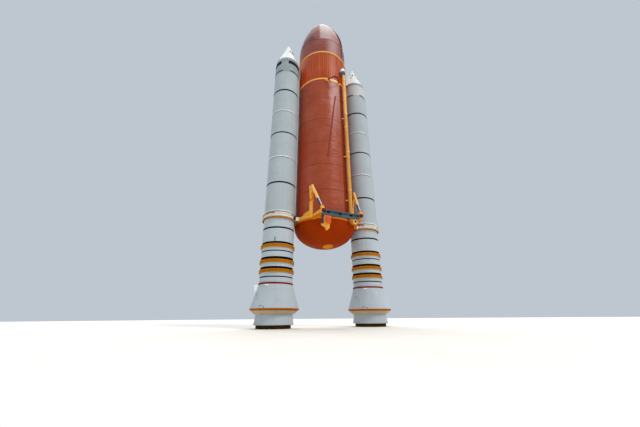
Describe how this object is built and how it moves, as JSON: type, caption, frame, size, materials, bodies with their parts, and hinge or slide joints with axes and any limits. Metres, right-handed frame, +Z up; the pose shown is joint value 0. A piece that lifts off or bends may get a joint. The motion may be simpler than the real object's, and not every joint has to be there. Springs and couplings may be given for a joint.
{
  "type": "space rocket with tank and twin boosters, 1:2 scale model",
  "caption": "Half-scale display rocket: a rust-coloured tank between white solid boosters that stand on nozzles and plinths, with feed line, bipod and aft struts.",
  "frame": {"origin": "on the floor, at the middle of the object's box seen from above; the axes of the tank and boosters stand 0.405 m behind it", "axes": "+X from the left booster to the right one, +Y away from the side with the bipod, feed line and crossbeam, +Z up"},
  "size_m": [9.37, 5.1, 28.12],
  "materials": {
    "tank_foam": "sprayed foam under satin rust-brown paint",
    "intertank_foam": "ribbed skin in brighter orange paint",
    "yellow_paint": "satin yellow-ochre paint",
    "maroon_paint": "satin dark maroon paint",
    "slate_paint": "satin slate-grey paint",
    "red_paint": "satin orange-red paint",
    "plinth_dark": "matt dark coating, recessed",
    "booster_white": "satin white paint with thin black joint bands and amber rings"
  },
  "bodies": {
    "root": {"aft_dome": "tank_foam", "aft_frame": "yellow_paint", "aft_strut_front_left": "booster_white", "aft_strut_front_right": "booster_white", "aft_strut_rear_left": "booster_white", "aft_strut_rear_right": "booster_white", "ball_fitting_left": "maroon_paint", "ball_fitting_right": "maroon_paint", "bipod": "maroon_paint", "bipod_foot_left": "yellow_paint", "bipod_foot_right": "yellow_paint", "cable_tray": "tank_foam", "crossbeam": "slate_paint", "dome_cover": "yellow_paint", "feed_line": "yellow_paint", "feed_line_elbow": "yellow_paint", "feed_line_fairing": "slate_paint", "flange_ring_lower": "yellow_paint", "flange_ring_upper": "yellow_paint", "forward_fitting_left": "booster_white", "forward_fitting_right": "booster_white", "hydrogen_tank": "tank_foam", "intertank": "intertank_foam", "left_aft_skirt": "booster_white", "left_attach_ring": "booster_white", "left_forward_skirt": "booster_white", "left_nose_cone": "booster_white", "left_nozzle": "booster_white", "left_plinth": "plinth_dark", "left_segment_aft": "booster_white", "left_segment_aft_centre": "booster_white", "left_segment_forward": "booster_white", "left_segment_forward_centre": "booster_white", "left_separation_motors": "booster_white", "left_systems_tunnel": "booster_white", "longeron_left": "yellow_paint", "longeron_right": "yellow_paint", "nose_cap": "tank_foam", "outrigger_left": "yellow_paint", "outrigger_right": "yellow_paint", "oxygen_tank": "tank_foam", "pressure_line": "slate_paint", "right_aft_skirt": "booster_white", "right_attach_ring": "booster_white", "right_forward_skirt": "booster_white", "right_nose_cone": "booster_white", "right_nozzle": "booster_white", "right_plinth": "plinth_dark", "right_segment_aft": "booster_white", "right_segment_aft_centre": "booster_white", "right_segment_forward": "booster_white", "right_segment_forward_centre": "booster_white", "right_separation_motors": "booster_white", "right_systems_tunnel": "booster_white", "thrust_strut_left": "yellow_paint", "thrust_strut_right": "yellow_paint", "umbilical_bracket": "yellow_paint", "umbilical_cover": "red_paint"}
  },
  "joints": []
}
